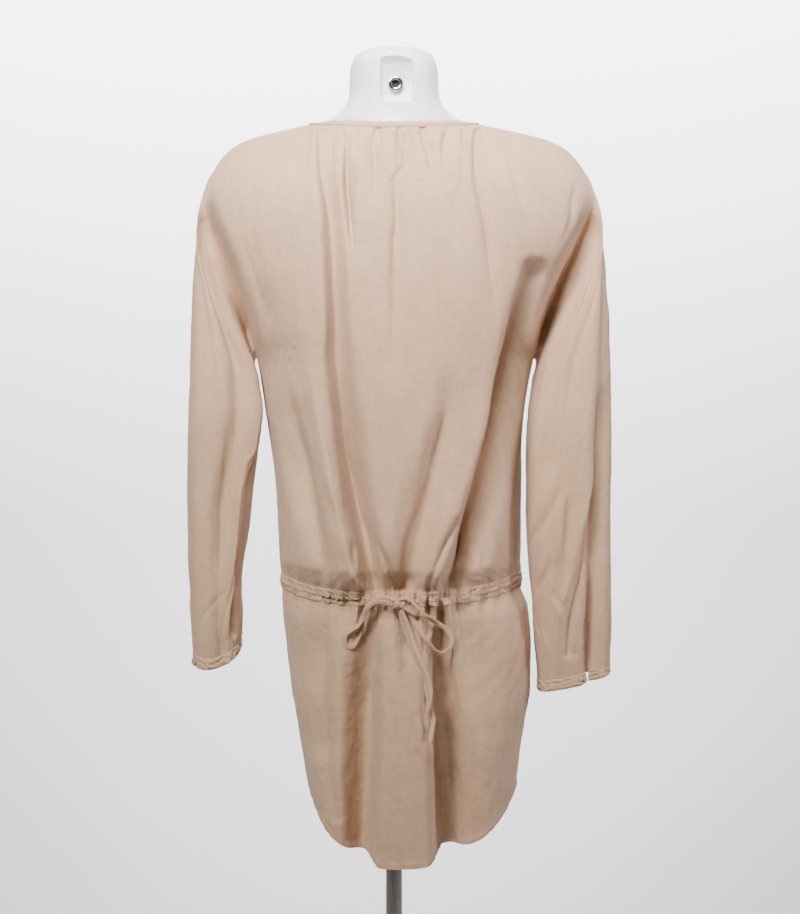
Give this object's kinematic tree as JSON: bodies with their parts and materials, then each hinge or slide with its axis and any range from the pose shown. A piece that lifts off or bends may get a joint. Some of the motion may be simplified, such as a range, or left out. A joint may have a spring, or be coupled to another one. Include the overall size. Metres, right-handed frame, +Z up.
{
  "type": "shirt dress on a limbless dress form",
  "caption": "Long-sleeved shirt dress with a gathered back, a drawstring waist tied in a bow behind and a shirt-tail hem, worn by a white limbless dress form on a pole stand.",
  "frame": {"origin": "centre of the foot plate's underside, on the floor", "axes": "+Z up along the pole; the dress faces +Y, so its back and the bow face -Y; +X is the wearer's right side"},
  "size_m": [0.4875, 0.31, 1.485],
  "materials": {
    "cotton_voile": "thin plain-weave cotton, slightly slubbed, matt",
    "cotton_tie": "narrow rouleau tie of the same cotton, matt",
    "button": "polished, beige",
    "form_white": "smooth satin white",
    "steel": "brushed"
  },
  "bodies": {
    "root": {"back_bodice": "cotton_voile", "back_skirt": "cotton_voile", "front_bodice_left": "cotton_voile", "front_bodice_right": "cotton_voile", "front_skirt_left": "cotton_voile", "front_skirt_right": "cotton_voile", "button_placket": "cotton_voile", "waist_casing_back": "cotton_voile", "waist_casing_front_left": "cotton_voile", "waist_casing_front_right": "cotton_voile", "neckband": "cotton_voile", "sleeve_left": "cotton_voile", "sleeve_right": "cotton_voile", "sleeve_slit_left": "cotton_voile", "sleeve_slit_right": "cotton_voile", "cuff_left": "cotton_voile", "cuff_right": "cotton_voile", "bow_knot": "cotton_tie", "bow_loop_left": "cotton_tie", "bow_loop_right": "cotton_tie", "bow_tail_outer": "cotton_tie", "bow_tail_inner": "cotton_tie", "button_1": "button", "button_2": "button", "button_3": "button", "button_4": "button", "button_5": "button", "button_6": "button", "button_7": "button", "button_8": "button", "button_9": "button", "cuff_button_left": "button", "cuff_button_right": "button", "dress_form": "form_white", "neck_eyelet": "steel", "pole": "steel", "pole_socket": "steel", "foot_plate": "steel"}
  },
  "joints": []
}
